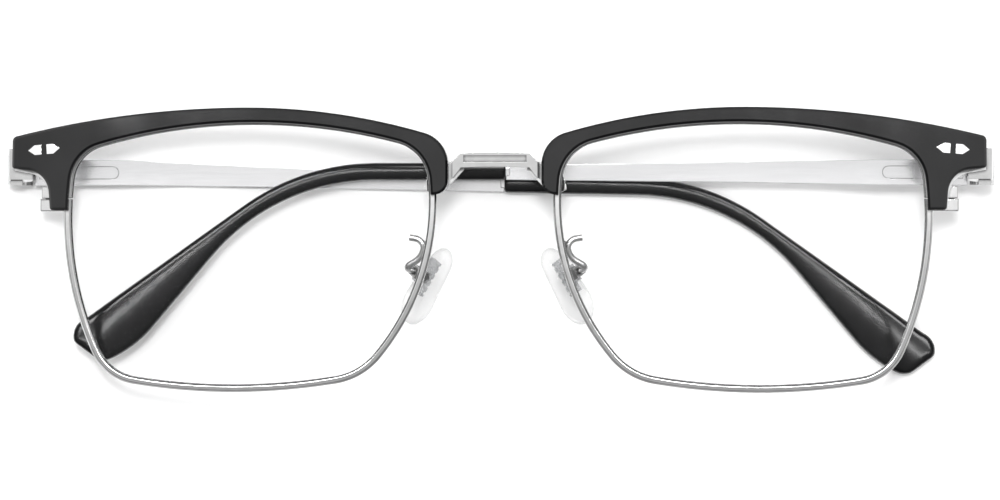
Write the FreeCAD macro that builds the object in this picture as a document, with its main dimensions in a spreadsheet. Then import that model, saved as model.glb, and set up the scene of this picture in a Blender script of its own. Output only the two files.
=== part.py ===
import FreeCAD, Part
import math
import os

# Folded browline spectacles lying on a table, front upward.
# X runs across the front, Y toward the brow, Z up from the table.
doc = FreeCAD.newDocument("browline_glasses")
sheet = doc.addObject("Spreadsheet::Sheet", "dims")

SIZES = [
    # eye shape, as the boxed size of a lens
    ("lens_width", 54.0), ("lens_height", 38.9), ("lens_gap", 18.2),
    ("top_radius", 85.0), ("top_shift", -0.6), ("bottom_radius", 95.0), ("bottom_shift", 2.7),
    ("nasal_radius", 35.0), ("nasal_crest", 7.7), ("temporal_radius", 49.0), ("temporal_crest", 5.7),
    ("corner_top_nasal", 6.5), ("corner_top_temporal", 6.0),
    ("corner_low_temporal", 7.5), ("corner_low_nasal", 10.0),
    # base curve of the front, with its height over the hinge lines
    ("base_radius", 133.0), ("base_centre", 11.7), ("base_apex", 5.544),
    # eyewire and lens
    ("rim_depth", 2.0), ("rim_wall", 0.62), ("rim_lip", 0.5), ("rim_round", 0.3),
    ("lens_thick", 1.0), ("seat_gap", 0.05),
    # brow
    ("brow_front", 2.2), ("brow_lap", 0.15), ("brow_round", 0.35), ("inlay_depth", 0.5),
    ("brow_end", 8.6), ("brow_end_top", 17.35), ("brow_end_low", 12.75), ("brow_apex", 0.2),
    ("brow_top", 21.45), ("brow_nasal_radius", 93.0), ("brow_nose", 2.3), ("brow_nose_low", 8.75),
    ("brow_stem_low", 6.55), ("brow_stem", 2.6),
    ("inlay_length", 2.1), ("inlay_height", 1.5), ("inlay_gap", 0.8), ("inlay_tilt", 4.0),
    ("inlay_across", 3.6), ("inlay_up", 15.5), ("inlay_proud", 0.08), ("trim_fit", 0.02),
    # endpiece and closing block
    ("plate_thick", 1.2), ("plate_edge", 0.3), ("plate_drop", 0.95),
    ("wall_thick", 1.2), ("wall_front", 0.05),
    ("lock_split", 0.12), ("lock_width", 3.6), ("lock_height", 1.85), ("lock_depth", 2.0),
    ("lock_back", 3.33), ("lock_line", 8.25), ("lock_outer", 4.6),
    ("lock_screw", 0.45), ("lock_screw_head", 0.72),
    # brow screws
    ("brow_screw", 0.45), ("brow_screw_head", 0.8), ("brow_screw_length", 2.2), ("head_thick", 0.4),
    ("end_screw_across", 4.7), ("end_screw_up", 14.6), ("end_screw_seat", 0.7),
    ("nose_screw_across", 1.1), ("nose_screw_up", 12.6), ("nose_screw_seat", 0.77),
    # bridge
    ("bridge_half", 2.9), ("bridge_top", 14.9), ("bridge_low", 12.7), ("bridge_back", 0.7),
    ("bridge_face", 2.4), ("bridge_arm_thick", 1.4), ("panel_half", 4.6), ("panel_height", 1.0),
    ("panel_depth", 0.35), ("panel_up", 13.95),
    # hinge
    ("hinge_across", 7.7), ("hinge_up", 12.2), ("barrel_radius", 1.15), ("eye_height", 1.5),
    ("ear_height", 1.1), ("hinge_gap", 0.05), ("hinge_screw", 0.5), ("hinge_head", 0.8),
    ("hinge_open_stop", 1.45), ("bar_start", 1.5),
    # sprung slider in the temple bar
    ("rod_radius", 0.36), ("rod_drop", 0.6), ("rod_length", 10.4), ("rod_head", 0.55),
    ("cavity_half", 0.62), ("cavity_front", 2.6), ("cavity_end", 13.2), ("cover_end", 14.0),
    ("cover_height", 1.75), ("cover_thick", 0.45), ("spring_radius", 0.5), ("spring_wire", 0.09),
    ("spring_turns", 6.0), ("eye_neck_half", 0.6),
    # temple bar
    ("outer_face", 2.4), ("bar_thick_hinge", 2.9), ("bar_thick", 1.3), ("bar_taper_start", 15.5),
    ("bar_taper_end", 23.0), ("bar_height_hinge", 3.9), ("bar_height_mid", 3.0), ("bar_mid", 35.0),
    ("bar_height_end", 2.2), ("sleeve_start", 69.7),
    ("outer_drop", 1.75), ("outer_sink", 0.4), ("outer_shift", 1.84), ("outer_reach", 0.56),
    # black temple tip and the core wire inside it
    ("tip_thick", 2.8), ("tip_round", 0.45), ("tip_crown", 15.0), ("tip_height", 2.6), ("tip_bend", 89.2),
    ("tip_top_radius", 33.0), ("tip_low_radius", 1.5), ("tip_top_angle", 35.4),
    ("tip_low_angle", 50.0), ("tip_length", 29.2), ("tip_low_length", 14.0),
    ("core_height", 1.1), ("core_thick", 0.8), ("core_inset", 0.6), ("core_run", 9.0), ("core_gap", 0.05),
    # nose pads
    ("pad_across", 1.9), ("pad_up", -2.9), ("pad_out", 4.611), ("pad_length", 12.6), ("pad_width", 7.0),
    ("pad_thick", 2.2), ("pad_round", 0.85), ("pad_box_gap", 0.1), ("pad_boss", 0.65),
    ("pad_boss_long", 1.3), ("pad_box_wall", 0.4), ("pad_pin", 0.3), ("pad_core_thick", 0.55),
    ("pad_core_width", 2.6), ("pad_core_length", 5.6), ("pad_clear", 0.75), ("pad_wire", 0.5),
    ("pad_wire_share", 0.45),
    # rest pose on the table
    ("front_tilt", 1.5), ("inner_fold", 1.7),
]
for row, (alias, value) in enumerate(SIZES, start=1):
    sheet.set("A%d" % row, alias)
    sheet.set("B%d" % row, str(value))
    sheet.setAlias("B%d" % row, alias)
doc.recompute()


def size(alias):
    return float(sheet.get(alias))


def bind(item, **rules):
    for prop, rule in rules.items():
        item.setExpression(prop.replace("__", "."), rule)
    return item


V = FreeCAD.Vector
UP = V(0, 0, 1)
SIDES = (("left", 1), ("right", -1))
base_x = size("lens_gap") / 2 + size("lens_width") / 2 - size("base_centre")
hinge_run = size("lens_width") / 2 + size("hinge_across") + size("base_centre")
base_z = size("base_apex") - math.sqrt(size("base_radius") ** 2 - hinge_run ** 2)
far = 150.0


# Places: across from an edge of the eye, and back from the eyewires' rear surface

def beyond(alias):
    """Distance across of a place that is given from the outer edge of the eye."""
    return size("lens_gap") / 2 + size("lens_width") + size(alias)


def inside(alias):
    """Distance across of a place that is given from the eye's nose edge, toward the middle."""
    return size("lens_gap") / 2 - size(alias)


def rear_level(x, y):
    """Height of the eyewires' rear surface over a point of the front."""
    reach = size("base_radius") - size("rim_depth") / 2
    return base_z + math.sqrt(reach ** 2 - (x - base_x) ** 2 - y ** 2)


# Sketches, solids and booleans of the document

def draw(name, path, side=1, plane="XY"):
    """Closed sketch from a start point, ("L", end) lines and ("A", mid, end) arcs."""
    sketch = doc.addObject("Sketcher::SketchObject", name)
    turn = {"XY": FreeCAD.Rotation(), "XZ": FreeCAD.Rotation(V(1, 0, 0), 90),
            "YZ": FreeCAD.Rotation(V(1, 1, 1), 120)}[plane]
    sketch.Placement = FreeCAD.Placement(V(), turn)
    flip = side if plane != "YZ" else 1
    at = V(flip * path[0][0], path[0][1], 0)
    for step in path[1:]:
        stop = V(flip * step[-1][0], step[-1][1], 0)
        if step[0] == "L":
            sketch.addGeometry(Part.LineSegment(at, stop))
        else:
            sketch.addGeometry(Part.Arc(at, V(flip * step[1][0], step[1][1], 0), stop))
        at = stop
    return sketch


def prism(name, path, low, high, side=1, plane="XY"):
    """Extrusion of a closed path between two levels of its plane's normal."""
    body = doc.addObject("Part::Extrusion", name)
    body.Base = draw(name + "_outline", path, side, plane)
    axis = {"XY": V(0, 0, 1), "XZ": V(0, -1, 0), "YZ": V(1, 0, 0)}[plane]
    body.DirMode = "Custom"
    body.Dir = axis
    body.LengthFwd = high
    body.LengthRev = -low
    body.Solid = True
    return body


def ball(name, side, rule):
    """Sphere about the base-curve centre of one side, its poles above and below the eyes."""
    body = doc.addObject("Part::Sphere", name)
    body.Placement.Rotation = FreeCAD.Rotation(V(1, 0, 0), 90)
    across = "%d * (dims.lens_gap / 2 + dims.lens_width / 2 - dims.base_centre)" % side
    run = "(dims.lens_width / 2 + dims.hinge_across + dims.base_centre)"
    bind(body, Radius=rule, Placement__Base__x=across,
         Placement__Base__z="dims.base_apex - sqrt(dims.base_radius ^ 2 - %s ^ 2)" % run)
    return body


def rod(name, radius, length, start, direction):
    body = doc.addObject("Part::Cylinder", name)
    bind(body, Radius=radius, Height=length)
    body.Placement = FreeCAD.Placement(start, FreeCAD.Rotation(UP, direction))
    return body


def block(name, x, y, z, side=1):
    """Box between two X, Y and Z levels, mirrored to its side."""
    body = doc.addObject("Part::Box", name)
    x = sorted((side * x[0], side * x[1]))
    body.Length, body.Width, body.Height = x[1] - x[0], y[1] - y[0], z[1] - z[0]
    body.Placement.Base = V(x[0], y[0], z[0])
    return body


def join(name, *items):
    body = doc.addObject("Part::MultiFuse", name)
    body.Shapes = list(items)
    return body


def meet(name, *items):
    body = doc.addObject("Part::MultiCommon", name)
    body.Shapes = list(items)
    return body


def cut(name, item, *tools):
    body = doc.addObject("Part::Cut", name)
    body.Base = item
    body.Tool = tools[0] if len(tools) == 1 else join(name + "_tools", *tools)
    return body


def round_edges(name, item, radius_of, kind="Fillet"):
    """Fillet, or chamfer, on each edge of an item for which a radius is given."""
    doc.recompute()
    body = doc.addObject("Part::" + kind, name)
    body.Base = item
    radii = [(n, radius_of(edge)) for n, edge in enumerate(item.Shape.Edges, 1)]
    body.Edges = [(n, r, r) for n, r in radii if r]
    return body


# Bent wires: paths of lines and tangent arcs, and the sweep along them

def arc_at(start, corner, stop):
    """Arc that is tangent to both equal legs of a corner."""
    back, ahead = start - corner, stop - corner
    leg, half = back.Length, back.getAngle(ahead) / 2
    inward = (back + ahead).normalize()
    return Part.Arc(start, corner + inward * leg * (1 / math.cos(half) - math.tan(half)), stop).toShape()


def bent(spots, share):
    """Wire of straight runs joined by arcs that use a share of the shorter run."""
    edges, at = [], spots[0]
    for before, corner, after in zip(spots, spots[1:], spots[2:]):
        back, ahead = before - corner, after - corner
        leg = share * min(back.Length, ahead.Length)
        enter, leave = corner + back.normalize() * leg, corner + ahead.normalize() * leg
        edges.append(Part.LineSegment(at, enter).toShape())
        edges.append(arc_at(enter, corner, leave))
        at = leave
    edges.append(Part.LineSegment(at, spots[-1]).toShape())
    return Part.Wire(edges)


def coil_path(radius, height, turns):
    """Wire that winds up Z, with two tangent arcs to each half turn."""
    edges, count = [], int(2 * turns)
    rise = height / count
    for n in range(count):
        side = (-1) ** n
        a, b = V(side * radius, 0, n * rise), V(-side * radius, 0, (n + 1) * rise)
        out = V(0, side * radius, rise / math.pi).normalize()
        back = V(0, -side * radius, rise / math.pi).normalize()
        gap, both = b - a, out + back
        spread, pull = 2 - 2 * out.dot(back), gap.dot(both)
        leg = (math.sqrt(pull ** 2 + spread * gap.dot(gap)) - pull) / spread
        one, two = a + out * leg, b - back * leg
        joint = (one + two) / 2
        edges += [arc_at(a, one, joint), arc_at(joint, two, b)]
    return Part.Wire(edges)


def sweep(name, section, spine):
    body = doc.addObject("Part::Sweep", name)
    body.Sections = [section]
    body.Spine = (spine, ["Edge%d" % n for n in range(1, len(spine.Shape.Edges) + 1)])
    body.Solid = True
    return body


# Eye shape: four bowed sides with round corners, offset exactly by a distance

def eye_path(offset):
    half_w, half_h = size("lens_width") / 2, size("lens_height") / 2
    mid = size("lens_gap") / 2 + half_w
    sides = []
    for radius, x, y in (
            (size("top_radius"), mid + size("top_shift"), half_h - size("top_radius")),
            (size("temporal_radius"), mid + half_w - size("temporal_radius"), size("temporal_crest")),
            (size("bottom_radius"), mid + size("bottom_shift"), size("bottom_radius") - half_h),
            (size("nasal_radius"), mid - half_w + size("nasal_radius"), size("nasal_crest"))):
        sides.append((V(x, y, 0), radius))
    corners = []
    for n, alias in enumerate(("corner_top_temporal", "corner_low_temporal",
                               "corner_low_nasal", "corner_top_nasal")):
        (a, ra), (b, rb) = sides[n], sides[(n + 1) % 4]
        r = size(alias)
        gap = b - a
        along = (gap.Length ** 2 + (ra - r) ** 2 - (rb - r) ** 2) / (2 * gap.Length)
        rise = math.sqrt((ra - r) ** 2 - along ** 2)
        unit = gap / gap.Length
        across = V(-unit.y, unit.x, 0)
        out = V((mid + half_w * (1, 1, -1, -1)[n]), half_h * (1, -1, -1, 1)[n], 0)
        spots = [a + unit * along + across * rise, a + unit * along - across * rise]
        corners.append((min(spots, key=lambda p: (p - out).Length), r))

    def on(centre, radius, toward):
        return centre + (toward - centre).normalize() * (radius + offset)

    def between(centre, radius, one, two):
        return on(centre, radius, (one + two) / 2)

    path = []
    for n in range(4):
        (a, ra), (c, r), (b, rb) = sides[n], corners[n], sides[(n + 1) % 4]
        enter = a + (c - a).normalize() * (ra + offset)
        leave = b + (c - b).normalize() * (rb + offset)
        begin = a + (corners[n - 1][0] - a).normalize() * (ra + offset)
        path.append(("A", between(a, ra, begin, enter), enter))
        path.append(("A", between(c, r, enter, leave), leave))
    start = path[-1][2]
    return [(start.x, start.y)] + [("A", (m.x, m.y), (e.x, e.y)) for _, m, e in path]


def eye_prism(name, side, offset):
    return prism(name, eye_path(offset), 0, far, side)


def shell(name, side, path_body, outer, inner):
    """Part of a prism that lies between two base-curve spheres."""
    kept = meet(name + "_in", path_body, ball(name + "_outer", side, outer))
    return cut(name, kept, ball(name + "_inner", side, inner))


NODES = {}
REAR = "dims.base_radius - dims.rim_depth / 2"
FRONT = "dims.base_radius + dims.rim_depth / 2"
GAP = size("seat_gap")


def add(label, item, body):
    NODES[label] = (item, body)
    return item


# Eyewires, split at the closing block, with a groove that holds the lens

def make_eyewire(tag, s):
    outer = eye_prism("rim_outer_" + tag, s, size("rim_wall"))
    inner = eye_prism("rim_inner_" + tag, s, -size("rim_lip"))
    ring = cut("rim_ring_" + tag, shell("rim_shell_" + tag, s, outer, FRONT, REAR), inner)
    front = size("base_radius") + size("rim_depth") / 2
    centre = V(s * base_x, 0, base_z)

    def outer_edge(edge):
        middle = edge.valueAt((edge.FirstParameter + edge.LastParameter) / 2)
        spherical = abs(abs((middle - centre).Length - front + size("rim_depth") / 2)
                        - size("rim_depth") / 2) < 1e-3
        return size("rim_round") if spherical and edge.Length > 1 else 0

    ring = round_edges("rim_bevelled_" + tag, ring, outer_edge, "Chamfer")
    slot = shell("rim_groove_" + tag, s, eye_prism("rim_groove_outline_" + tag, s, GAP),
                 "dims.base_radius + dims.lens_thick / 2 + dims.seat_gap",
                 "dims.base_radius - dims.lens_thick / 2 - dims.seat_gap")
    line = size("lock_line")
    edge = size("lens_gap") / 2 + size("lens_width")
    split = block("rim_split_" + tag, (edge - 3, edge + 3), (line - size("lock_split") / 2,
                                                             line + size("lock_split") / 2), (0, far), s)
    add("eyewire_" + tag, cut("eyewire_cut_" + tag, ring, slot, split), "front")


def make_lens(tag, s):
    disc = shell("lens_disc_" + tag, s, eye_prism("lens_outline_" + tag, s, 0),
                 "dims.base_radius + dims.lens_thick / 2", "dims.base_radius - dims.lens_thick / 2")
    add("lens_" + tag, disc, "front")


# Brow trims with their inlays and screws

def brow_corners():
    """Corner points of a brow's outline, each with the radius that rounds it."""
    return [(V(beyond("brow_end"), size("brow_end_top"), 0), 0.8),
            (V(inside("brow_nose"), size("brow_top") - nose_fall(), 0), 4.8),
            (V(inside("brow_nose"), size("brow_nose_low"), 0), 2.0),
            (V(beyond("brow_stem"), size("brow_stem_low"), 0), 0.45),
            (V(beyond("brow_stem") + 0.45, size("brow_end_low") - 0.55, 0), 3.6),
            (V(beyond("brow_end"), size("brow_end_low"), 0), 0.5)]


def brow_crest():
    """Distance across of the highest point of a brow."""
    return size("lens_gap") / 2 + size("lens_width") / 2 + size("brow_apex")


def nose_fall():
    """Drop of the brow's top arc from its crest to its nose end."""
    radius, run = size("brow_nasal_radius"), brow_crest() - inside("brow_nose")
    return radius - math.sqrt(radius ** 2 - run ** 2)


def brow_path():
    end, nose, nose_low, stem, hollow, end_low = [(p.x, p.y) for p, _ in brow_corners()]
    apex = (brow_crest(), size("brow_top"))
    run = end[0] - apex[0]
    drop = apex[1] - end[1]
    radius = (run ** 2 + drop ** 2) / (2 * drop)
    outer_mid = (apex[0] + run / 2, apex[1] - radius + math.sqrt(radius ** 2 - run ** 2 / 4))
    inner = size("brow_nasal_radius")
    reach = (apex[0] - nose[0]) / 2
    inner_mid = (apex[0] - reach, apex[1] - inner + math.sqrt(inner ** 2 - reach ** 2))
    middle = size("lens_gap") / 2 + size("lens_width") / 2
    return [end, ("A", outer_mid, apex), ("A", inner_mid, nose), ("L", nose_low),
            ("L", (middle, nose_low[1])), ("L", (middle, stem[1])), ("L", stem), ("L", hollow),
            ("L", end_low), ("L", end)]


def inlay_paths(grow):
    """Two arrow shapes, flat ends facing each other, along the brow's end."""
    length, half, gap = size("inlay_length"), size("inlay_height") / 2, size("inlay_gap") / 2
    turn = math.radians(-size("inlay_tilt"))
    paths = []
    for d in (1, -1):
        shape = [(gap - grow, half + grow), (gap + length * 0.5, half + grow), (gap + length + grow, 0),
                 (gap + length * 0.5, -half - grow), (gap - grow, -half - grow)]
        spots = []
        for a, b in shape:
            a = d * a
            spots.append((beyond("inlay_across") + a * math.cos(turn) - b * math.sin(turn),
                          size("inlay_up") + a * math.sin(turn) + b * math.cos(turn)))
        paths.append([spots[-1]] + [("L", p) for p in spots])
    return paths


SCREWS = ("end", "nose")


def screw_parts(name, spot, s, radius, head, reach):
    """Shank and head of a brow screw, driven from behind along Z."""
    x = {"end": beyond, "nose": inside}[spot](spot + "_screw_across")
    y = size(spot + "_screw_up")
    at = V(s * x, y, rear_level(x, y) - size(spot + "_screw_seat"))
    shank = rod(name + "_shank", radius, "dims.brow_screw_length", at, UP)
    top = rod(name + "_head", head, reach, at, V(0, 0, -1))
    return shank, top


def make_brow(tag, s):
    slab = prism("brow_blank_" + tag, brow_path(), 0, far, s)

    def corner(edge):
        flat = V(s * edge.BoundBox.Center.x, edge.BoundBox.Center.y, 0)
        near = [r for p, r in brow_corners() if (p - flat).Length < 0.01]
        return near[0] if near and edge.BoundBox.ZLength > 1 else 0

    slab = round_edges("brow_corners_" + tag, slab, corner)
    slab = cut("brow_band_" + tag, slab, eye_prism("brow_eye_" + tag, s, -size("brow_lap")))
    slab = shell("brow_curved_" + tag, s, slab, "dims.base_radius + dims.brow_front", REAR)
    front = size("base_radius") + size("brow_front")
    centre = V(s * base_x, 0, base_z)

    def front_edge(edge):
        middle = edge.valueAt((edge.FirstParameter + edge.LastParameter) / 2)
        return size("brow_round") if abs((middle - centre).Length - front) < 1e-3 else 0

    slab = round_edges("brow_bevelled_" + tag, slab, front_edge, "Chamfer")
    rabbet = meet("brow_rabbet_" + tag, eye_prism("brow_seat_" + tag, s, size("rim_wall") + GAP),
                  ball("brow_seat_ball_" + tag, s, FRONT + " + dims.seat_gap"))
    pockets = []
    for n, path in enumerate(inlay_paths(size("trim_fit"))):
        hole = prism("inlay_pocket_%d_%s" % (n, tag), path, 0, far, s)
        floor = ball("inlay_floor_%d_%s" % (n, tag), s,
                     "dims.base_radius + dims.brow_front - dims.inlay_depth")
        pockets.append(cut("inlay_seat_%d_%s" % (n, tag), hole, floor))
    holes = []
    for spot in SCREWS:
        holes += screw_parts("brow_hole_%s_%s" % (spot, tag), spot, s, "dims.brow_screw + dims.trim_fit",
                             "dims.brow_screw_head + 0.05", "5")
    add("brow_" + tag, cut("brow_body_" + tag, slab, rabbet, *(pockets + holes)), "front")
    studs = []
    for n, path in enumerate(inlay_paths(0)):
        blank = prism("inlay_blank_%d_%s" % (n, tag), path, 0, far, s)
        studs.append(shell("inlay_%d_%s" % (n, tag), s, blank,
                           "dims.base_radius + dims.brow_front + dims.inlay_proud",
                           "dims.base_radius + dims.brow_front - dims.inlay_depth"))
    add("brow_inlays_" + tag, compound("inlay_pair_" + tag, studs), "front")
    screws = []
    for spot in SCREWS:
        parts = screw_parts("brow_screw_%s_%s" % (spot, tag), spot, s, "dims.brow_screw",
                            "dims.brow_screw_head", "dims.head_thick")
        screws.append(join("brow_screw_%s_%s" % (spot, tag), *parts))
    add("brow_screws_" + tag, compound("brow_screw_pair_" + tag, screws), "front")


def compound(name, items):
    body = doc.addObject("Part::Compound", name)
    body.Links = items
    return body


# Endpieces: curved plate behind the brow, side wall and two hinge ears

def plate_path():
    """Outline of the plate: it shows as a thin edge below the brow's end."""
    edge, end, low, stem = size("plate_edge"), beyond("brow_end"), size("brow_end_low"), beyond("brow_stem")
    inner = size("lens_gap") / 2 + size("lens_width") - 0.4
    top = size("brow_end_top") - size("plate_drop")
    foot = size("lock_line") + size("lock_split") / 2
    bend = (stem + 1.25 + edge, low - 1.85)
    return [(inner, top), ("L", (end + 0.15, top)), ("L", (end + 0.15, low - edge)),
            ("L", (end - 1.8, low - 0.35 - edge)), ("A", bend, (stem + 0.2 + edge, low - 4.15)),
            ("L", (stem + 0.2 + edge, foot)), ("L", (inner, foot)), ("L", (inner, top))]


def make_endpiece(tag, s):
    x, y = beyond("hinge_across"), size("hinge_up")
    face, wall = x + size("outer_face"), size("wall_thick")
    stop, low = size("hinge_open_stop"), y - size("eye_height") / 2 - size("hinge_gap") - size("ear_height")
    high = 2 * y - low
    plate = shell("end_plate_" + tag, s, prism("end_plate_blank_" + tag, plate_path(), 0, far, s), REAR,
                  REAR + " - dims.plate_thick")
    edge = beyond("brow_end") + 0.15
    crest = size("brow_end_top") - size("plate_drop") - 0.65
    foot = size("brow_end_low") - size("plate_edge") - 1.3
    rim = rear_level(edge, crest) - size("wall_front")
    plan = [(face, -stop), ("L", (face, rim - 1.8)), ("L", (face - 0.5, rim)), ("L", (edge - 2.6, rim)),
            ("L", (edge - 2.6, rim - 0.6)), ("L", (face - wall, rim - 1.4)), ("L", (face - wall, -stop)),
            ("L", (face, -stop))]
    flank = [(crest, rim), ("L", (foot, rim)), ("L", (low, rim - 2)), ("L", (low, -stop)),
             ("L", (high, -stop)), ("L", (high, rim - 2.7)), ("L", (crest, rim))]
    strip = meet("end_wall_" + tag, prism("end_plan_" + tag, plan, -far, far, s, "XZ"),
                 prism("end_flank_" + tag, flank, -far, far, s, "YZ"))
    ears = []
    for n, (a, b) in enumerate(((low, low + size("ear_height")), (high - size("ear_height"), high))):
        ears.append(rod("ear_%d_%s" % (n, tag), "dims.barrel_radius", "dims.ear_height",
                        V(s * x, a, 0), V(0, 1, 0)))
        ears.append(block("ear_web_%d_%s" % (n, tag), (x, face - wall / 2), (a, b), (-1.0, rim - 0.4), s))
    whole = join("end_joined_" + tag, plate, strip, *ears)
    tools = [rod("end_bore_" + tag, "dims.hinge_screw + dims.hinge_gap", "20",
                 V(s * x, y - 10, 0), V(0, 1, 0)),
             rod("end_sink_" + tag, "dims.hinge_head + dims.hinge_gap", "dims.head_thick + 5",
                 V(s * x, high - size("head_thick"), 0), V(0, 1, 0)),
             rod("end_swing_" + tag, "dims.bar_start + 0.32", "dims.eye_height + 2 * dims.hinge_gap",
                 V(s * x, y - size("eye_height") / 2 - size("hinge_gap"), 0), V(0, 1, 0))]
    tools += screw_parts("end_hole_" + tag, "end", s, "dims.brow_screw + 0.05",
                         "dims.brow_screw_head + 0.1", "5")
    add("endpiece_" + tag, cut("endpiece_body_" + tag, whole, *tools), "front")
    shank = rod("hinge_shank_" + tag, "dims.hinge_screw", str(high - low - 0.2),
                V(s * x, low + 0.1, 0), V(0, 1, 0))
    head = rod("hinge_cap_" + tag, "dims.hinge_head", "dims.head_thick",
               V(s * x, high - size("head_thick"), 0), V(0, 1, 0))
    slot = block("hinge_slot_" + tag, (x - 1.0, x + 1.0), (high - 0.15, high + 1), (-0.12, 0.12), s)
    blank = join("hinge_screw_blank_" + tag, shank, head)
    add("hinge_screw_" + tag, cut("hinge_screw_body_" + tag, blank, slot), "front")


# Closing block of the eyewire: two halves drawn together by a screw

def make_lock(tag, s):
    line, half = size("lock_line"), size("lock_split") / 2
    out, wide = beyond("lock_outer"), size("lock_width")
    tall, deep = size("lock_height"), size("lock_depth")
    x = (out - wide, out)
    back = rear_level(out - wide / 2, line) - size("lock_back")
    centre = V(s * (out - 0.95), line, back + deep / 2)
    upper = meet("lock_upper_trim_" + tag, block("lock_upper_blank_" + tag, x, (line + half, line + tall),
                                                 (back, back + deep + 2), s),
                 ball("lock_upper_ball_" + tag, s, REAR + " - dims.plate_thick"))
    lower = meet("lock_lower_trim_" + tag, block("lock_lower_blank_" + tag, (x[0] - 0.8, out),
                                                 (line - tall, line - half), (back, back + deep + 4), s),
                 ball("lock_lower_ball_" + tag, s, REAR))
    bore = [rod("lock_bore_%d_%s" % (n, tag), "dims.lock_screw + 0.03", "2 * dims.lock_height",
                centre - V(0, tall, 0), V(0, 1, 0)) for n in (0, 1)]
    sink = rod("lock_sink_" + tag, "dims.lock_screw_head + 0.05", "dims.head_thick",
               centre - V(0, tall, 0), V(0, 1, 0))
    add("rim_lock_upper_" + tag, cut("lock_upper_" + tag, upper, bore[0]), "front")
    add("rim_lock_lower_" + tag, cut("lock_lower_" + tag, lower, bore[1], sink), "front")
    shank = rod("lock_shank_" + tag, "dims.lock_screw", "2 * dims.lock_height - 0.2",
                centre - V(0, tall, 0), V(0, 1, 0))
    head = rod("lock_head_" + tag, "dims.lock_screw_head", "dims.head_thick",
               centre - V(0, tall, 0), V(0, 1, 0))
    add("rim_lock_screw_" + tag, join("lock_screw_" + tag, shank, head), "front")


# Bridge with a sunk front panel; its arms run behind the brows to the eyewires

def arm_path():
    """Outline of a bridge arm, from the bar down behind the brow to the eyewire."""
    half, top, low, eye = inside("bridge_half"), size("bridge_top"), size("bridge_low"), size("lens_gap") / 2
    return [(half - 1.6, top - 1.0), ("L", (half + 0.7, top - 1.3)), ("L", (eye + 0.5, low - 0.1)),
            ("L", (eye + 1.3, low - 3.1)), ("L", (eye - 0.3, low - 4.1)), ("L", (half + 0.8, low - 2.8)),
            ("L", (half - 1.6, low - 0.3)), ("L", (half - 1.6, top - 1.0))]


def make_bridge():
    half, top, low = inside("bridge_half"), size("bridge_top"), size("bridge_low")
    level = rear_level(half, top)
    face = level + size("bridge_face")
    panel = [(-half, top - 1.3), ("L", (-half + 1.2, top - 0.15)), ("A", (0, top), (half - 1.2, top - 0.15)),
             ("L", (half, top - 1.3)), ("L", (half, low - 1.5)), ("L", (half - 1.2, low)),
             ("A", (0, low + 0.1), (-half + 1.2, low)), ("L", (-half, low - 1.5)), ("L", (-half, top - 1.3))]
    centre = prism("bridge_bar", panel, level - size("bridge_back"), face)
    arms = []
    for tag, s in SIDES:
        arm = shell("bridge_arm_" + tag, s, prism("bridge_arm_blank_" + tag, arm_path(), 0, far, s), REAR,
                    REAR + " - dims.bridge_arm_thick")
        arms.append(cut("bridge_arm_drilled_" + tag, arm, *screw_parts(
            "bridge_hole_" + tag, "nose", s, "dims.brow_screw + 0.05", "dims.brow_screw_head + 0.1", "5")))
    sunk = block("bridge_panel", (-size("panel_half"), size("panel_half")),
                 (size("panel_up") - size("panel_height") / 2, size("panel_up") + size("panel_height") / 2),
                 (face - size("panel_depth"), face + 1))
    add("bridge", cut("bridge_body", join("bridge_joined", centre, *arms), sunk), "front")


# Temples: positions are measured along the temple from the hinge axis

def along(w):
    return beyond("hinge_across") - w


def bar_paths(tag):
    """Side outline and thickness outline of a metal bar."""
    drop = size("outer_drop") if tag == "right" else 0
    shift = size("outer_shift") if tag == "right" else 0
    y, first, last = size("hinge_up"), size("bar_start"), size("sleeve_start") + shift
    turn = size("bar_taper_start")

    def centre(w):
        return y - drop * max(0, w - turn) / (last - turn)

    stations = [(first, size("bar_height_hinge")), (turn, size("bar_height_hinge") - 0.2),
                (size("bar_mid"), size("bar_height_mid")), (last, size("bar_height_end"))]
    top = [(along(w), centre(w) + tall / 2) for w, tall in stations]
    low = [(along(w), centre(w) - tall / 2) for w, tall in reversed(stations)]
    side_view = [top[0]] + [("L", p) for p in top[1:] + low + top[:1]]
    back = -size("outer_face")
    thick = [(first, size("bar_thick_hinge")), (turn, size("bar_thick_hinge")),
             (size("bar_taper_end"), size("bar_thick")), (last, size("bar_thick"))]
    plan = [(along(w), back + t) for w, t in thick] + [(along(last), back), (along(first), back)]
    plan_view = [plan[0]] + [("L", p) for p in plan[1:] + plan[:1]]
    return side_view, plan_view, centre(last), last


def from_hinge(spots):
    """Path across the front, from a path measured along the temple."""
    path = [(along(spots[0][0]), spots[0][1])]
    for step in spots[1:]:
        path.append((step[0],) + tuple((along(p[0]), p[1]) for p in step[1:]))
    return path


def tip_frame(tag):
    """Start and bend of a temple tip as (along, up) points, and the slope between them."""
    start, bend, level = size("sleeve_start"), size("tip_bend"), size("hinge_up") + 0.1
    if tag == "left":
        return (start, level), (bend, level), 0
    start, level = start + size("outer_shift"), level - size("outer_drop")
    bend += size("outer_shift") + size("outer_reach")
    return (start, level), (bend, level - size("outer_sink")), math.atan(size("outer_sink") / (bend - start))


def bow(bend, level, radius, first, last):
    """Middle and end of a downward arc that starts at the bend, between two slopes."""
    x, y = bend - radius * math.sin(first), level - radius * math.cos(first)
    return [(x + radius * math.sin(a), y + radius * math.cos(a)) for a in ((first + last) / 2, last)]


def tip_radii():
    """Radii of a tip's bend, at its top, its middle and its lower edge."""
    top = size("tip_top_radius")
    return top, top - size("tip_low_radius") / 2, top - size("tip_low_radius")


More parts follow.
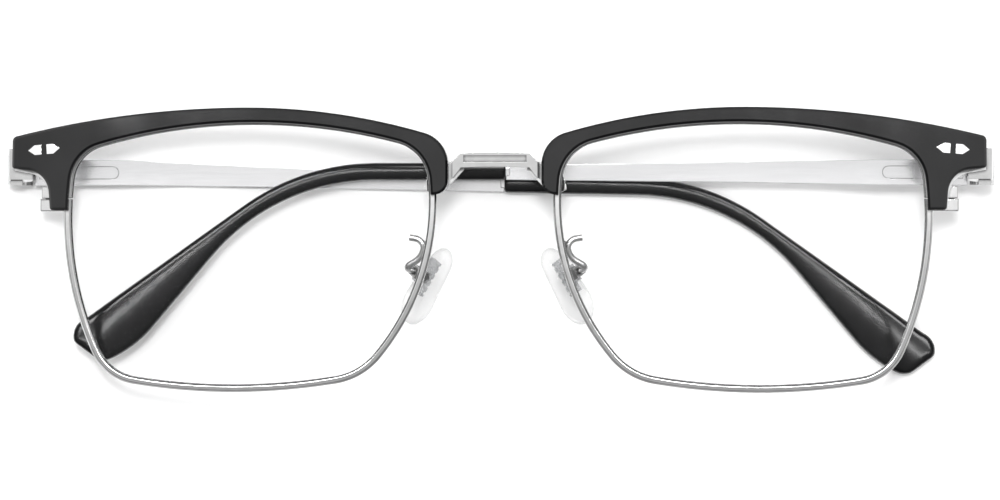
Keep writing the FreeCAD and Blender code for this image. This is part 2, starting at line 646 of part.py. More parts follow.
def tip_path(tag):
    """Side outline of a temple tip: straight sleeve, bend and widening paddle."""
    (start, y), (bend, level), slope = tip_frame(tag)
    half = size("tip_height") / 2
    steep, flat = math.radians(size("tip_low_angle")), math.radians(size("tip_top_angle"))
    top = bow(bend, level + half, tip_radii()[0], slope, flat)
    low = bow(bend, level - half, tip_radii()[2], slope, steep)
    reach = size("tip_length")
    tail = (top[1][0] + reach * math.cos(flat), top[1][1] - reach * math.sin(flat))
    reach = size("tip_low_length")
    flare = (low[1][0] + reach * math.cos(steep), low[1][1] - reach * math.sin(steep))
    spots = [(start, y + half), ("L", (bend, level + half)), ("A", top[0], top[1]), ("L", tail),
             ("A", (tail[0] + 1.75, tail[1] - 1.75), (tail[0] + 1.75, tail[1] - 3.5)),
             ("L", (tail[0] - 1.1, tail[1] - 5.6)),
             ("A", (tail[0] - 2.4, tail[1] - 6.25), (tail[0] - 3.9, tail[1] - 6.0)),
             ("A", (flare[0] + 2.5, flare[1] - 2.35), flare), ("L", low[1]),
             ("A", low[0], (bend, level - half)), ("L", (start, y - half)), ("L", (start, y + half))]
    return from_hinge(spots)


def tip_crown(tag, s, back):
    """Lens-shaped section swept along the middle of a temple tip, which crowns both of its faces."""
    (start, y), (bend, level), slope = tip_frame(tag)
    last = math.radians((size("tip_top_angle") + size("tip_low_angle")) / 2)
    middle, end = bow(bend, level, tip_radii()[1], slope, last)
    start, y, reach = start - 1, y + math.tan(slope), size("tip_length") + 10
    half, arch = size("tip_thick") / 2, size("tip_crown")
    spine = draw("tip_middle_" + tag, from_hinge([
        (start, y), ("L", (bend, level)), ("A", middle, end),
        ("L", (end[0] + reach * math.cos(last), end[1] - reach * math.sin(last)))]), s)
    spine.Placement.Base = V(0, 0, back + half)
    wide = math.sqrt(arch ** 2 - (arch - half) ** 2)
    section = draw("tip_section_" + tag, [(y - wide, 0), ("A", (y, half), (y + wide, 0)),
                                          ("A", (y, -half), (y - wide, 0))], 1, "YZ")
    section.Placement.Base = V(s * along(start), 0, back + half)
    return sweep("tip_crown_" + tag, section, spine)


def core_path(tag, grow):
    """Side outline of the core wire inside a temple tip."""
    (start, y), (bend, level), slope = tip_frame(tag)
    start -= 0.5
    half = size("core_height") / 2 + grow
    radius = tip_radii()[1]
    last = math.radians((size("tip_top_angle") + size("tip_low_angle")) / 2)
    reach = size("core_run") + grow
    upper = bow(bend, level + half, radius + half, slope, last)
    lower = bow(bend, level - half, radius - half, slope, last)
    run = (reach * math.cos(last), -reach * math.sin(last))
    spots = [(start, y + half), ("L", (bend, level + half)), ("A", upper[0], upper[1]),
             ("L", (upper[1][0] + run[0], upper[1][1] + run[1])),
             ("L", (lower[1][0] + run[0], lower[1][1] + run[1])), ("L", lower[1]),
             ("A", lower[0], (bend, level - half)), ("L", (start, y - half)), ("L", (start, y + half))]
    return from_hinge(spots)


def make_temple(tag, s):
    y, back = size("hinge_up"), -size("outer_face")
    side_view, plan_view, end_y, end_w = bar_paths(tag)
    blank = meet("bar_blank_" + tag, prism("bar_side_" + tag, side_view, -far, far, s),
                 prism("bar_plan_" + tag, plan_view, -far, far, s, "XZ"))
    low, high = back + size("core_inset"), back + size("core_inset") + size("core_thick")
    core = prism("bar_core_" + tag, core_path(tag, 0), low, high, s)
    inner = back + size("bar_thick_hinge")
    floor = inner - size("cover_thick")
    half, level = size("cavity_half"), -size("rod_drop")
    front, rear = size("cavity_front"), size("cavity_end")
    cavity = block("bar_cavity_" + tag, (along(rear), along(front)), (y - half, y + half),
                   (level - half, inner + 1), s)
    hole = rod("bar_hole_" + tag, "dims.rod_radius + 0.06", "4", V(s * along(0), y, level), V(-s, 0, 0))
    seat = prism("cover_seat_" + tag, cover_path(size("trim_fit")), floor, inner + 1, s)
    whole = join("bar_joined_" + tag, blank, core)
    add("temple_bar_" + tag, cut("bar_body_" + tag, whole, cavity, hole, seat), "temple_" + tag)
    add("spring_cover_" + tag, prism("cover_" + tag, cover_path(0), floor, inner, s), "temple_" + tag)
    sleeve = meet("tip_crowned_" + tag, prism("tip_blank_" + tag, tip_path(tag), -far, far, s),
                  tip_crown(tag, s, back))

    def rim_edge(edge):
        middle = (edge.FirstParameter + edge.LastParameter) / 2
        across = abs(edge.tangentAt(middle).z) > 0.9
        start = abs(s * edge.valueAt(middle).x - along(end_w)) < 0.5
        return 0 if across or start else size("tip_round")

    sleeve = round_edges("tip_rounded_" + tag, sleeve, rim_edge, "Chamfer")
    gap = size("core_gap")
    bore = prism("tip_bore_" + tag, core_path(tag, gap), low - gap, high + gap, s)
    add("temple_tip_" + tag, cut("tip_body_" + tag, sleeve, bore), "temple_" + tag)
    make_eye(tag, s)


def cover_path(grow):
    """Obround plate that closes the spring pocket, round at its inner end."""
    y, half = size("hinge_up"), size("cover_height") / 2 + grow
    near, end = size("cavity_front") - 0.4 - grow, size("cover_end") + grow
    return [(along(near), y + half), ("L", (along(end - half), y + half)), ("A", (along(end), y),
            (along(end - half), y - half)), ("L", (along(near), y - half)), ("L", (along(near), y + half))]


# Hinge eye with its sprung rod, and the spring between bar and rod head

def make_eye(tag, s):
    x, y, level = beyond("hinge_across"), size("hinge_up"), -size("rod_drop")
    tall, neck = size("eye_height"), size("eye_neck_half")
    ring = rod("eye_ring_" + tag, "dims.barrel_radius", "dims.eye_height",
               V(s * x, y - tall / 2, 0), V(0, 1, 0))
    arm = block("eye_neck_" + tag, (along(size("bar_start") - 0.06), x), (y - neck, y + neck),
                (level - 0.4, level + 0.6), s)
    shaft = rod("eye_rod_" + tag, "dims.rod_radius", "dims.rod_length - 1",
                V(s * along(1), y, level), V(-s, 0, 0))
    head = rod("eye_head_" + tag, "dims.rod_head", "0.6",
               V(s * along(size("rod_length") - 0.6), y, level), V(-s, 0, 0))
    bore = rod("eye_bore_" + tag, "dims.hinge_screw + dims.hinge_gap", "6", V(s * x, y - 3, 0), V(0, 1, 0))
    add("hinge_eye_" + tag, cut("eye_body_" + tag, join("eye_joined_" + tag, ring, arm, shaft, head), bore),
        "hinge_eye_" + tag)
    wire = size("spring_wire")
    start, stop = size("cavity_front") + wire + 0.1, size("rod_length") - 0.6 - wire - 0.1
    spine = doc.addObject("Part::Feature", "spring_path_" + tag)
    spine.Shape = coil_path(size("spring_radius"), stop - start, size("spring_turns"))
    profile = doc.addObject("Part::RegularPolygon", "spring_section_" + tag)
    profile.Polygon = 4
    bind(profile, Circumradius="dims.spring_wire")
    profile.Placement = FreeCAD.Placement(V(size("spring_radius"), 0, 0), FreeCAD.Rotation(UP, V(0, 1, 0)))
    coil = sweep("spring_coil_" + tag, profile, spine)
    coil.Placement = FreeCAD.Placement(V(s * along(start), y, level), FreeCAD.Rotation(UP, V(-s, 0, 0)))
    add("hinge_spring_" + tag, coil, "temple_" + tag)


# Nose pads: wire arm with a box, pivot pin, core and soft pad

def pad_frame(s):
    length = V(-0.5 * s, 0.85, 0.1).normalize()
    out = V(-0.75 * s, -0.37, -0.6).normalize()
    across = length.cross(out).normalize()
    out = across.cross(length)
    turn = FreeCAD.Matrix(across.x, length.x, out.x, 0, across.y, length.y, out.y, 0,
                          across.z, length.z, out.z, 0, 0, 0, 0, 1)
    place = FreeCAD.Placement(turn)
    eye = size("lens_gap") / 2
    place.Base = V(s * (eye + size("pad_across")), size("pad_up"), rear_level(eye, 0) - size("pad_out"))
    return place


def pad_outline(body, name, length, width):
    """Teardrop sketch on a body's own plane, wider at its lower end."""
    sketch = body.newObject("Sketcher::SketchObject", name)
    plane = [f for f in body.Origin.OriginFeatures if f.Role == "XY_Plane"][0]
    sketch.AttachmentSupport = [(plane, "")]
    sketch.MapMode = "FlatFace"
    low, high = width / 2, width * 0.36
    a, b = V(0, -length / 2 + low, 0), V(0, length / 2 - high, 0)
    lean = math.asin((low - high) / (b - a).Length)
    edge = V(math.cos(lean), math.sin(lean), 0)
    mirror = V(-edge.x, edge.y, 0)
    sketch.addGeometry(Part.Arc(a + mirror * low, a - V(0, low, 0), a + edge * low))
    sketch.addGeometry(Part.LineSegment(a + edge * low, b + edge * high))
    sketch.addGeometry(Part.Arc(b + edge * high, b + V(0, high, 0), b + mirror * high))
    sketch.addGeometry(Part.LineSegment(b + mirror * high, a + mirror * low))
    return sketch


def make_pad(tag, s):
    place = pad_frame(s)
    clear, boss, long = size("pad_clear"), size("pad_boss"), size("pad_boss_long")
    wall, gap = size("pad_box_wall"), size("pad_box_gap")
    core_w, core_l, core_t = size("pad_core_width"), size("pad_core_length"), size("pad_core_thick")
    seat = size("trim_fit")
    body = doc.addObject("PartDesign::Body", "pad_soft_" + tag)
    pad = body.newObject("PartDesign::Pad", "pad_slab_" + tag)
    pad.Profile = pad_outline(body, "pad_outline_" + tag, size("pad_length"), size("pad_width"))
    bind(pad, Length="dims.pad_thick")
    doc.recompute()
    soft = body.newObject("PartDesign::Chamfer", "pad_softened_" + tag)
    names = ["Edge%d" % n for n, e in enumerate(pad.Shape.Edges, 1) if e.BoundBox.ZLength < 1e-6]
    soft.Base = (pad, names)
    bind(soft, Size="dims.pad_round")
    body.Placement.Base = V(0, -1.2, clear)
    well = block("pad_well_" + tag, (-core_w / 2 - seat, core_w / 2 + seat),
                 (-core_l / 2 - seat, core_l / 2 + seat), (clear - 0.1, clear + core_t + seat))
    local = add("nose_pad_" + tag, cut("pad_body_" + tag, body, well), "nose_pad_" + tag)
    plate = block("pad_plate_" + tag, (-core_w / 2, core_w / 2), (-core_l / 2, core_l / 2),
                  (clear, clear + core_t))
    stalk = block("pad_stalk_" + tag, (-boss, boss), (-long, long), (-0.75, clear + 0.1))
    ribs = [block("pad_notch_%d_%s" % (n, tag), (-core_w, core_w), (1.1 * n - 0.2, 1.1 * n + 0.2),
                  (clear + core_t - 0.2, clear + core_t + 1)) for n in (-2, -1, 0, 1, 2)]
    bore = rod("pad_core_bore_" + tag, "dims.pad_pin + 0.03", "6", V(-3, 0, 0), V(1, 0, 0))
    core = add("pad_core_" + tag, cut("pad_core_body_" + tag, join("pad_core_joined_" + tag, plate, stalk),
                                      bore, *ribs), "nose_pad_" + tag)
    side = boss + gap
    cheeks = [block("pad_cheek_%d_%s" % (n, tag), sorted((n * side, n * (side + wall))),
                    (-0.8, 0.8), (-1.6, 0.45)) for n in (-1, 1)]
    floor = block("pad_box_floor_" + tag, (-side - wall, side + wall), (-0.8, 0.8), (-1.6, -1.2))
    box = cut("pad_box_" + tag, join("pad_box_joined_" + tag, floor, *cheeks),
              rod("pad_box_bore_" + tag, "dims.pad_pin + dims.trim_fit", "6", V(-3, 0, 0), V(1, 0, 0)))
    pin = rod("pad_pin_" + tag, "dims.pad_pin", str(2 * (side + wall)), V(-side - wall, 0, 0), V(1, 0, 0))
    cap = rod("pad_pin_cap_" + tag, "dims.pad_pin + 0.25", "0.25", V(-side - wall, 0, 0), V(-1, 0, 0))
    screw = add("pad_screw_" + tag, join("pad_screw_body_" + tag, pin, cap), "front")
    for item in (local, core, box, screw):
        item.Placement = place
    arm = pad_wire(tag, s, place)
    add("pad_arm_" + tag, join("pad_arm_body_" + tag, box, arm), "front")


def pad_wire(tag, s, place):
    """Bent wire from the eyewire's back, round a loop, to the pad box."""
    foot = place.multVec(V(0, 0, -1.4))
    eye = size("lens_gap") / 2
    rear = rear_level(eye, 0)
    spots = [V(s * (eye + out), up, rear - back) for out, up, back in (
        (3.5, 2.5, 1.71), (2.1, 2.3, 1.51), (1.3, 1.2, 1.31), (1.9, -0.5, 1.71), (4.3, -1.9, 2.31))]
    spots.append(foot)
    spine = doc.addObject("Part::Feature", "pad_wire_path_" + tag)
    spine.Shape = bent(spots, size("pad_wire_share"))
    ring = doc.addObject("Part::RegularPolygon", "pad_wire_section_" + tag)
    ring.Polygon = 8
    bind(ring, Circumradius="dims.pad_wire")
    ring.Placement = FreeCAD.Placement(spots[0], FreeCAD.Rotation(UP, spots[1] - spots[0]))
    wire = sweep("pad_wire_" + tag, ring, spine)
    solder = rod("pad_foot_" + tag, "dims.pad_wire", "3", V(s * (eye + 0.8), 1.6, rear - 2.11), UP)
    trimmed = meet("pad_foot_trim_" + tag, solder, ball("pad_foot_ball_" + tag, s, REAR))
    return join("pad_wire_joined_" + tag, wire, trimmed)


for tag, s in SIDES:
    make_eyewire(tag, s)
    make_lens(tag, s)
    make_brow(tag, s)
    make_endpiece(tag, s)
    make_lock(tag, s)
    make_temple(tag, s)
    make_pad(tag, s)
make_bridge()
doc.recompute()

# Rest pose: the outer temple lies flat, the front leans on it, the inner temple is folded further
axis = V(0, 1, 0)
x_hinge = beyond("hinge_across")


def turned(angle, pivot):
    turn = FreeCAD.Rotation(axis, angle)
    return FreeCAD.Placement(pivot - turn.multVec(pivot), turn)


lean = turned(-size("front_tilt"), V(-x_hinge, 0, 0))
POSES = {"front": lean}
for tag, s in SIDES:
    fold = turned(size("inner_fold") if s > 0 else size("front_tilt"), V(s * x_hinge, 0, 0))
    POSES["hinge_eye_" + tag] = lean.multiply(fold)
    POSES["temple_" + tag] = lean.multiply(fold)
    POSES["nose_pad_" + tag] = lean

for label, (item, body) in NODES.items():
    item.Placement = POSES[body].multiply(item.Placement)
doc.recompute()
whole = FreeCAD.BoundBox()
for item, body in NODES.values():
    whole.add(item.Shape.optimalBoundingBox())
shift = FreeCAD.Placement(V(-whole.Center.x, -whole.Center.y, size("outer_face")), FreeCAD.Rotation())
os.makedirs("parts", exist_ok=True)
for label, (item, body) in NODES.items():
    item.Placement = shift.multiply(item.Placement)
doc.recompute()
for item in doc.Objects:
    if "Invalid" in item.State or "Error" in item.State:
        raise RuntimeError("%s did not build" % item.Label)
for label, (item, body) in NODES.items():
    item.Label = label
    if item.Shape.isNull() or not item.Shape.isValid() or not item.Shape.Solids:
        raise RuntimeError("%s is not a valid solid" % label)
    item.Shape.exportStep("parts/%s.step" % label)
    print(label, len(item.Shape.Solids), round(item.Shape.Volume, 3))
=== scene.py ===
import math

import bmesh
import bpy
from mathutils import Matrix, Vector


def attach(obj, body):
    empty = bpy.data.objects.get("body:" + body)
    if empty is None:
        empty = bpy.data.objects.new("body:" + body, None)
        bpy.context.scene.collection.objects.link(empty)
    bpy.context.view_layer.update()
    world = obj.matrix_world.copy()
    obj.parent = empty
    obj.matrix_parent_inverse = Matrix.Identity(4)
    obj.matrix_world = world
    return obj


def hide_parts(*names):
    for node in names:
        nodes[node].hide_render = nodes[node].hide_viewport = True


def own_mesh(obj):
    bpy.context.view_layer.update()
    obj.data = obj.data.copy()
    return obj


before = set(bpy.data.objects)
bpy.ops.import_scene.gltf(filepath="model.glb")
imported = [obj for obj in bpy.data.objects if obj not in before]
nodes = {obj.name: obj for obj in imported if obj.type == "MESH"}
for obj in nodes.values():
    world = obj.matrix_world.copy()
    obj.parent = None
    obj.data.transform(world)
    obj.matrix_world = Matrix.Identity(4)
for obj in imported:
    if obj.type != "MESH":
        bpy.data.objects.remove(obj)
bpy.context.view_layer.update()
scene = bpy.context.scene

# Blender works in metres, and MM turns the part's millimetres into them
MM = 0.001
SIDES = ("left", "right")
SEAM = 0.001 * MM

# Values of a noise that count as its lowest and highest
NOISE_LOW, NOISE_HIGH = 0.3, 0.7

# Share of open sky below which the shade painted into a crevice is at its darkest, and rays cast to
# find that share
CREVICE_SHADE_OPEN = 0.35
CREVICE_SHADE_RAYS = 8


# Shader nodes

def new_material(name, **values):
    """Principled material with its even values set on the shader's own sockets."""
    material = bpy.data.materials.new(name)
    material.use_nodes = True
    shader = material.node_tree.nodes["Principled BSDF"]
    for socket, value in values.items():
        shader.inputs[socket.replace("_", " ")].default_value = value
    return material, shader


def map_range(tree, source, **limits):
    """Value carried from one range to another, each of them 0 to 1 where no limit is given."""
    span = tree.nodes.new("ShaderNodeMapRange")
    for socket, value in limits.items():
        span.inputs[socket.replace("_", " ")].default_value = value
    tree.links.new(source, span.inputs["Value"])
    return span.outputs["Result"]


def colour_ramp(tree, source, stops):
    """Colour by a value from 0 to 1, with stops of a place and a colour."""
    ramp = tree.nodes.new("ShaderNodeValToRGB")
    elements = ramp.color_ramp.elements
    while len(elements) < len(stops):
        elements.new(0.5)
    for element, (place, colour) in zip(elements, stops):
        element.position = place
        element.color = (*colour, 1)
    tree.links.new(source, ramp.inputs["Fac"])
    return ramp.outputs["Color"]


def add_noise(material, scale, detail, stretch=(1, 1, 1)):
    """Noise in object space, with sizes in metres, stretched along the axes."""
    tree = material.node_tree
    place = tree.nodes.new("ShaderNodeTexCoord")
    mapping = tree.nodes.new("ShaderNodeMapping")
    mapping.inputs["Scale"].default_value = stretch
    noise = tree.nodes.new("ShaderNodeTexNoise")
    noise.inputs["Scale"].default_value = scale
    noise.inputs["Detail"].default_value = detail
    tree.links.new(place.outputs["Object"], mapping.inputs["Vector"])
    tree.links.new(mapping.outputs["Vector"], noise.inputs["Vector"])
    return noise.outputs["Fac"]


def vary(material, shader, noise, socket, low, high):
    """Runs a number of the shader between two values by a noise."""
    tree = material.node_tree
    value = map_range(tree, noise, From_Min=NOISE_LOW, From_Max=NOISE_HIGH, To_Min=low, To_Max=high)
    tree.links.new(value, shader.inputs[socket])


def tint(material, shader, noise, dark, light):
    """Runs the base colour between two colours by a noise."""
    tree = material.node_tree
    colour = colour_ramp(tree, noise, ((NOISE_LOW, dark), (NOISE_HIGH, light)))
    tree.links.new(colour, shader.inputs["Base Color"])


def paint_crevice_shade(material, shader, reach, floor):
    """Paints shade into the base colour in corners and grooves that are closer together than a reach.
    """
    tree = material.node_tree
    # painted shade: ambient occlusion darkens the base colour where little open sky reaches the surface
    opening = tree.nodes.new("ShaderNodeAmbientOcclusion")
    opening.samples = CREVICE_SHADE_RAYS
    opening.inputs["Distance"].default_value = reach
    share = map_range(tree, opening.outputs["AO"], From_Min=CREVICE_SHADE_OPEN, To_Min=floor)
    scale = tree.nodes.new("ShaderNodeVectorMath")
    scale.operation = "SCALE"
    plain = shader.inputs["Base Color"].links[0].from_socket
    tree.links.new(plain, scale.inputs["Vector"])
    tree.links.new(share, scale.inputs["Scale"])
    tree.links.new(scale.outputs["Vector"], shader.inputs["Base Color"])


def bump(material, shader, noise, strength, height):
    """Makes a surface slightly uneven by a noise."""
    tree = material.node_tree
    node = tree.nodes.new("ShaderNodeBump")
    node.inputs["Strength"].default_value = strength
    node.inputs["Distance"].default_value = height
    tree.links.new(noise, node.inputs["Height"])
    tree.links.new(node.outputs["Normal"], shader.inputs["Normal"])


def fade(material, shader, output, blend, low, high):
    """Runs the opacity between two values, from surfaces that face the viewer to those seen edge on."""
    tree = material.node_tree
    weight = tree.nodes.new("ShaderNodeLayerWeight")
    weight.inputs["Blend"].default_value = blend
    opacity = map_range(tree, weight.outputs[output], To_Min=low, To_Max=high)
    tree.links.new(opacity, shader.inputs["Alpha"])


# Materials

def make_black(name, ior, sheen):
    """Glossy black plastic."""
    dark, light = (0.003, 0.003, 0.0033), (0.006, 0.006, 0.0065)
    material, shader = new_material(name, IOR=ior)
    cloud = add_noise(material, scale=180, detail=4)
    ripple = add_noise(material, scale=900, detail=2)
    tint(material, shader, cloud, dark, light)
    vary(material, shader, cloud, "Roughness", low=sheen, high=sheen + 0.04)
    bump(material, shader, ripple, strength=0.01, height=0.03 * MM)
    return material


def make_polished(name, grey, rough):
    """Polished metal, with shade painted into its crevices."""
    dark, light = (grey, grey, grey), (grey + 0.06, grey + 0.06, grey + 0.06)
    material, shader = new_material(name, Metallic=1.0)
    cloud = add_noise(material, scale=700, detail=3)
    tint(material, shader, cloud, dark, light)
    # painted shade in corners and grooves of the metal
    paint_crevice_shade(material, shader, reach=0.5 * MM, floor=0.25)
    vary(material, shader, cloud, "Roughness", low=rough, high=rough + 0.06)
    return material


def make_satin():
    """Satin metal of the temples, with a fine grain along them."""
    dark, light = (0.85, 0.85, 0.86), (0.89, 0.89, 0.9)
    material, shader = new_material("silver_satin", Metallic=1.0)
    grain = add_noise(material, scale=2500, detail=3, stretch=(0.05, 1, 1))
    tint(material, shader, grain, dark, light)
    vary(material, shader, grain, "Roughness", low=0.2, high=0.25)
    bump(material, shader, grain, strength=0.02, height=0.01 * MM)
    return material


def make_spring():
    """Grey steel of the hinge springs."""
    dark, light = (0.38, 0.38, 0.39), (0.5, 0.5, 0.51)
    material, shader = new_material("spring_steel", Metallic=1.0)
    cloud = add_noise(material, scale=2000, detail=3)
    tint(material, shader, cloud, dark, light)
    vary(material, shader, cloud, "Roughness", low=0.25, high=0.4)
    return material


def make_lens():
    """Clear lens, which shows only where it is seen edge on."""
    material, shader = new_material("lens_clear", Base_Color=(0.5, 0.51, 0.51, 1), Roughness=0.02,
                                    IOR=1.5)
    fade(material, shader, "Fresnel", blend=0.25, low=0.0, high=0.22)
    return material


def make_silicone():
    """Clear silicone of the nose pads, with a darker rim."""
    material, shader = new_material("silicone_clear", Base_Color=(0.34, 0.345, 0.35, 1), IOR=1.41,
                                    Transmission_Weight=0.4)
    cloud = add_noise(material, scale=900, detail=3)
    vary(material, shader, cloud, "Roughness", low=0.03, high=0.08)
    fade(material, shader, "Facing", blend=0.24, low=0.05, high=0.7)
    return material


def make_insert():
    """Cloudy clear plastic of the core in a nose pad."""
    dark, light = (0.3, 0.31, 0.32), (0.55, 0.56, 0.57)
    material, shader = new_material("insert_clear", IOR=1.49, Transmission_Weight=0.3, Alpha=0.55)
    cloud = add_noise(material, scale=1500, detail=3)
    tint(material, shader, cloud, dark, light)
    vary(material, shader, cloud, "Roughness", low=0.1, high=0.25)
    return material


MATERIALS = {
    "black": make_black("brow_black", ior=1.47, sheen=0.06),
    "tip": make_black("tip_black", ior=1.34, sheen=0.15),
    "polished": make_polished("silver_polished", grey=0.65, rough=0.1),
    "wire": make_polished("silver_wire", grey=0.5, rough=0.3),
    "bright": make_polished("silver_bright", grey=0.93, rough=0.1),
    "satin": make_satin(),
    "spring": make_spring(),
    "lens": make_lens(),
    "silicone": make_silicone(),
    "insert": make_insert(),
}


# Rounding of the CAD pieces: seams merged, soft shading, a small bevel on sharp edges

def smoothing_group():
    """Node group that merges seams and shades smooth, apart from edges over the angle it is given."""
    group = bpy.data.node_groups.new("smooth_by_angle", "GeometryNodeTree")
    group.interface.new_socket("Geometry", in_out="INPUT", socket_type="NodeSocketGeometry")
    angle = group.interface.new_socket("Angle", in_out="INPUT", socket_type="NodeSocketFloat")
    group.interface.new_socket("Geometry", in_out="OUTPUT", socket_type="NodeSocketGeometry")
    enter = group.nodes.new("NodeGroupInput")
    leave = group.nodes.new("NodeGroupOutput")
    merge = group.nodes.new("GeometryNodeMergeByDistance")
    merge.inputs["Distance"].default_value = SEAM
    clear = group.nodes.new("GeometryNodeRemoveAttribute")
    clear.inputs["Name"].default_value = "custom_normal"
    soft = group.nodes.new("GeometryNodeSetShadeSmooth")
    crease = group.nodes.new("GeometryNodeSetShadeSmooth")
    crease.domain = "EDGE"
    crease.inputs["Shade Smooth"].default_value = False
    fold = group.nodes.new("GeometryNodeInputMeshEdgeAngle")
    over = group.nodes.new("FunctionNodeCompare")
    over.operation = "GREATER_THAN"
    group.links.new(fold.outputs["Unsigned Angle"], over.inputs["A"])
    group.links.new(enter.outputs["Angle"], over.inputs["B"])
    group.links.new(over.outputs["Result"], crease.inputs["Selection"])
    steps = (enter, merge, clear, soft, crease, leave)
    for step, following in zip(steps, steps[1:]):
        group.links.new(step.outputs["Geometry"], following.inputs["Geometry"])
    return group, angle.identifier


SMOOTHER, SMOOTHER_ANGLE = smoothing_group()
BEVEL_SEGMENTS = 3
BEVEL_OVER = 25


def soften(piece, angle, bevel):
    """Merged, smooth-shaded piece, with a rounded bevel where a width is given."""
    smooth = piece.modifiers.new("smooth", "NODES")
    smooth.node_group = SMOOTHER
    smooth[SMOOTHER_ANGLE] = math.radians(angle)
    if bevel:
        edge = piece.modifiers.new("bevel", "BEVEL")
        edge.width = bevel * MM
        edge.segments = BEVEL_SEGMENTS
        edge.limit_method = "ANGLE"
        edge.angle_limit = math.radians(BEVEL_OVER)
        edge.harden_normals = True


def relax(piece, voxel):
    """Evens out a piece into small faces and eases its edges."""
    merge = piece.modifiers.new("merge", "WELD")
    merge.merge_threshold = SEAM
    remesh = piece.modifiers.new("remesh", "REMESH")
    remesh.mode = "VOXEL"
    remesh.voxel_size = voxel * MM
    remesh.use_smooth_shade = True
    ease = piece.modifiers.new("ease", "SMOOTH")
    ease.factor = 0.5
    ease.iterations = 10


def dress(piece, material):
    """Gives a piece one material in place of any it has."""
    piece.data.materials.clear()
    piece.data.materials.append(material)


# Material, angle of sharp edges in degrees and bevel in millimetres, by the start of a node's name
LOOKS = {
    "brow": ("black", 40, 0.14),
    "brow_inlays": ("bright", 30, 0.05),
    "brow_screws": ("polished", 30, 0.05),
    "eyewire": ("polished", 40, 0.1),
    "endpiece": ("polished", 30, 0.1),
    "bridge": ("polished", 30, 0.12),
    "rim_lock": ("polished", 30, 0.22),
    "hinge_screw": ("polished", 30, 0.05),
    "hinge_eye": ("polished", 30, 0.05),
    "hinge_spring": ("spring", 60, 0.0),
    "pad_arm": ("wire", 60, 0.0),
    "pad_screw": ("polished", 30, 0.04),
    "pad_core": ("insert", 30, 0.04),
    "nose_pad": ("silicone", 60, 0.0),
    "temple_bar": ("satin", 30, 0.28),
    "spring_cover": ("satin", 30, 0.06),
    "lens": ("lens", 30, 0.0),
}
TIP = "temple_tip"
TIP_VOXEL = 0.3
PAD_VOXEL = 0.28

for name, node in nodes.items():
    if name.startswith(TIP):
        dress(node, MATERIALS["tip"])
        relax(node, TIP_VOXEL)
    else:
        key = max((start for start in LOOKS if name.startswith(start)), key=len)
        look, angle, bevel = LOOKS[key]
        dress(node, MATERIALS[look])
        soften(node, angle, bevel)


# Pieces that stand for a CAD node

def copy_of(name, copy_name):
    """New object with a copy of a node's mesh and its material."""
    piece = bpy.data.objects.new(copy_name, nodes[name].data.copy())
    scene.collection.objects.link(piece)
    return piece


def make_pad(side):
    """Soft nose pad, rounded over its solid."""
    name = "nose_pad_" + side
    pad = copy_of(name, "soft_pad_" + side)
    relax(pad, PAD_VOXEL)
    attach(pad, name)
    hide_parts(name)


def make_coil(side):
    """Hinge spring between the bar and the rod's head, carried with the temple on a mesh of its own."""
    name = "hinge_spring_" + side
    _, angle, bevel = LOOKS["hinge_spring"]
    coil = copy_of(name, "coil_" + side)
    soften(coil, angle, bevel)
    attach(coil, "temple_" + side)
    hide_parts(name)
    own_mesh(coil)


for side in SIDES:
    make_pad(side)
    make_coil(side)


# Floor, backdrop, light and camera

FLOOR_ACROSS, FLOOR_FRONT, FLOOR_BACK = 80 * MM, -34 * MM, 23.5 * MM
FLOOR_DROP = 0.05 * MM
ROOM_SIZE = 4.4
ROOM_GLOW = 1.15
WORLD_STRENGTH = 1.15

# Greys of the dome by height, from front to back and below the horizon: part of a direction, grey
HEIGHT_STOPS = ((0.0, 0.09), (0.35, 0.14), (0.68, 0.95), (0.8, 1.0))
DEPTH_STOPS = ((-0.5, 0.3), (-0.1, 0.5), (0.02, 0.7), (0.12, 1.0))
BELOW_STOPS = ((-0.9, 0.95), (-0.4, 0.6), (-0.02, 0.2), (0.0, 0.06))


def stage_object(name, mesh, material):
    """Piece of the set, with its mesh and material, linked to the scene."""
    item = bpy.data.objects.new(name, mesh)
    item.data.materials.append(material)
    scene.collection.objects.link(item)
    return item


def make_floor():
    """Table as large as the shadows, which leaves opened temples in view."""
    corners = [(-FLOOR_ACROSS, FLOOR_FRONT, 0), (FLOOR_ACROSS, FLOOR_FRONT, 0),
               (FLOOR_ACROSS, FLOOR_BACK, 0), (-FLOOR_ACROSS, FLOOR_BACK, 0)]
    mesh = bpy.data.meshes.new("floor")
    mesh.from_pydata(corners, [], [(0, 1, 2, 3)])
    dark, light = (0.93, 0.93, 0.93), (0.95, 0.95, 0.95)
    material, shader = new_material("white_table", Roughness=0.9, Specular_IOR_Level=0.0)
    tint(material, shader, add_noise(material, scale=8, detail=2), dark, light)
    floor = stage_object("floor", mesh, material)
    floor.location.z = -FLOOR_DROP


def make_backdrop():
    """White room behind the table, which is seen but neither lights nor mirrors."""
    mesh = bpy.data.meshes.new("backdrop")
    room = bmesh.new()
    bmesh.ops.create_cube(room, size=ROOM_SIZE)
    room.to_mesh(mesh)
    room.free()
    material = new_material("white_backdrop", Base_Color=(0, 0, 0, 1), Specular_IOR_Level=0.0,
                            Emission_Color=(1, 1, 1, 1), Emission_Strength=ROOM_GLOW)[0]
    backdrop = stage_object("backdrop", mesh, material)
    backdrop.visible_glossy = False
    backdrop.visible_diffuse = False
    backdrop.visible_shadow = False


def grey_ramp(tree, source, low, high, stops):
    """Grey by one part of a direction, which runs from a low to a high value."""
    share = map_range(tree, source, From_Min=low, From_Max=high)
    shares = [((place - low) / (high - low), (grey, grey, grey)) for place, grey in stops]
    return colour_ramp(tree, share, shares)


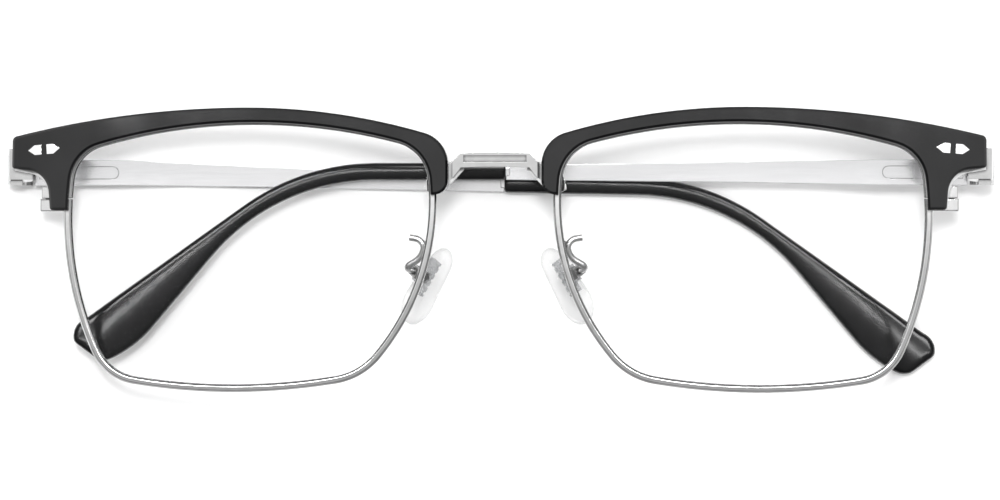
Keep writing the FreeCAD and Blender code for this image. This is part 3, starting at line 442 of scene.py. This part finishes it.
def make_world():
    """Studio dome: white overhead, dark toward the horizon and toward the front, grey below."""
    world = bpy.data.worlds.new("studio")
    world.use_nodes = True
    tree = world.node_tree
    place = tree.nodes.new("ShaderNodeTexCoord")
    split = tree.nodes.new("ShaderNodeSeparateXYZ")
    tree.links.new(place.outputs["Generated"], split.inputs["Vector"])
    height = grey_ramp(tree, split.outputs["Z"], 0, 1, HEIGHT_STOPS)
    depth = grey_ramp(tree, split.outputs["Y"], -1, 1, DEPTH_STOPS)
    below = grey_ramp(tree, split.outputs["Z"], -1, 1, BELOW_STOPS)
    joined = tree.nodes.new("ShaderNodeMath")
    joined.operation = "MULTIPLY_ADD"
    for socket, grey in zip(joined.inputs, (height, depth, below)):
        tree.links.new(grey, socket)
    background = tree.nodes["Background"]
    background.inputs["Strength"].default_value = WORLD_STRENGTH
    tree.links.new(joined.outputs["Value"], background.inputs["Color"])
    scene.world = world


def area_light(name, place, size, power, mirrored):
    """Light turned to the middle of the floor, either for the shading or for the highlights."""
    data = bpy.data.lights.new(name, "AREA")
    data.shape = "RECTANGLE"
    data.size, data.size_y = size
    data.energy = power
    light = bpy.data.objects.new(name, data)
    light.location = place
    light.rotation_euler = (-Vector(place)).to_track_quat("-Z", "Y").to_euler()
    light.visible_glossy = mirrored
    light.visible_diffuse = not mirrored
    scene.collection.objects.link(light)
    return light


def make_lights():
    """Key and fill for the shading, a softbox for the highlights and a strip for those on the tips."""
    area_light("key", place=(0.0, 0.19, 1.0), size=(0.14, 0.14), power=4.6, mirrored=False)
    area_light("fill", place=(0.0, 0.1, 1.2), size=(2.4, 2.4), power=12.0, mirrored=False)
    area_light("softbox", place=(0.0, 0.515, 0.857), size=(1.6, 0.28), power=22.0, mirrored=True)
    strip = area_light("tip_strip", place=(0.0, 0.135, 1.0), size=(1.2, 0.07), power=5.0, mirrored=True)
    lit = bpy.data.collections.new("tip_strip_on")
    for side in SIDES:
        lit.objects.link(nodes[TIP + "_" + side])
    strip.light_linking.receiver_collection = lit


def make_camera():
    """View from straight above, turned a little to one side as in the photograph."""
    distance, width, sensor = 0.6, 0.1467, 36.0
    yaw = math.radians(1.0)
    target = Vector((0.3, 0.0, 12.0)) * MM
    back = Vector((math.sin(yaw), 0, math.cos(yaw)))
    right = Vector((math.cos(yaw), 0, -math.sin(yaw)))
    up = back.cross(right)
    data = bpy.data.cameras.new("camera")
    data.sensor_width = sensor
    data.lens = sensor * distance / width
    camera = bpy.data.objects.new("camera", data)
    turn = Matrix((right, up, back)).transposed().to_4x4()
    camera.matrix_world = Matrix.Translation(target + back * distance) @ turn
    scene.collection.objects.link(camera)
    scene.camera = camera


make_floor()
make_backdrop()
make_world()
make_lights()
make_camera()
scene.view_settings.view_transform = "Standard"
